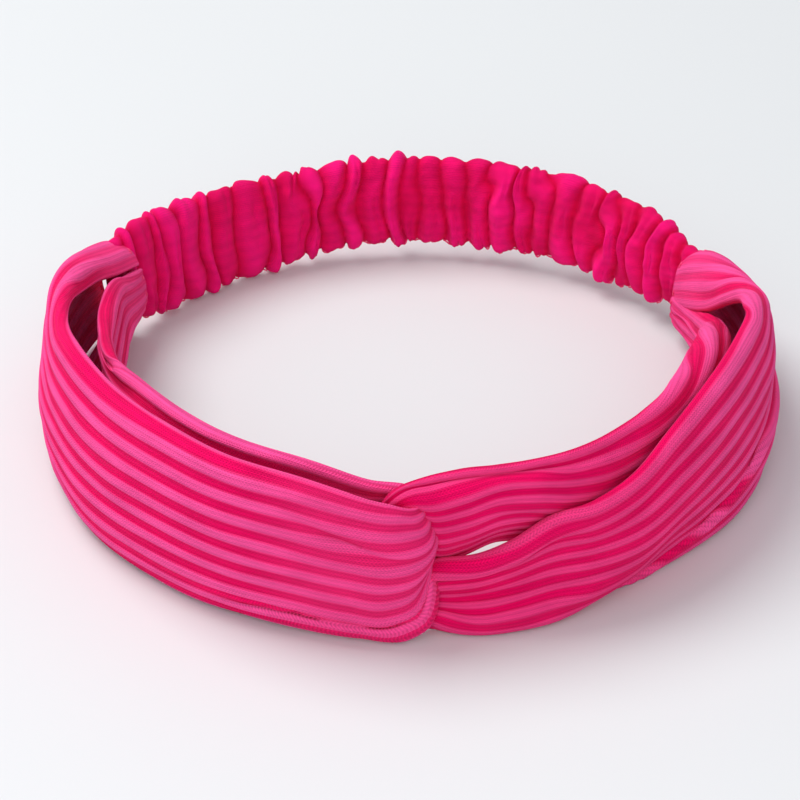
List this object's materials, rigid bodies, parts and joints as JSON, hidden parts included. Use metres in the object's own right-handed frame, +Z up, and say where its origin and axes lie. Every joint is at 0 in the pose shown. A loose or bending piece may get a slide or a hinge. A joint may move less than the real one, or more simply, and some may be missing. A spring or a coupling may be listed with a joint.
{
  "type": "sports headband",
  "caption": "Stretchy fabric headband: two rib-knit panels linked in a twist at the front, closed behind by a ruched casing over an elastic band.",
  "frame": {"origin": "centre of the band's box, on the surface that its lower edge stands on", "axes": "+Z up through the head opening, -Y towards the twist at the front, +Y towards the elastic at the back"},
  "size_m": [0.1524, 0.1554, 0.041],
  "materials": {
    "rib_knit": "matte rib knit",
    "plain_knit": "matte plain knit",
    "elastic_webbing": "matte woven elastic",
    "thread": "satin thread"
  },
  "bodies": {
    "front": {"left_panel": "rib_knit", "right_panel": "rib_knit", "left_end_stitching": "thread", "right_end_stitching": "thread", "left_panel_seam": "thread", "right_panel_seam": "thread"},
    "back": {"elastic_casing": "plain_knit", "elastic_band": "elastic_webbing", "casing_seam_thread": "thread", "left_elastic_tack": "thread", "right_elastic_tack": "thread"}
  },
  "joints": [
    {"name": "elastic_stretch", "type": "slide", "parent": "front", "child": "back", "axis": [0, 1, 0], "range_m": [0, 0.05], "stiffness_N_per_m": 60}
  ]
}
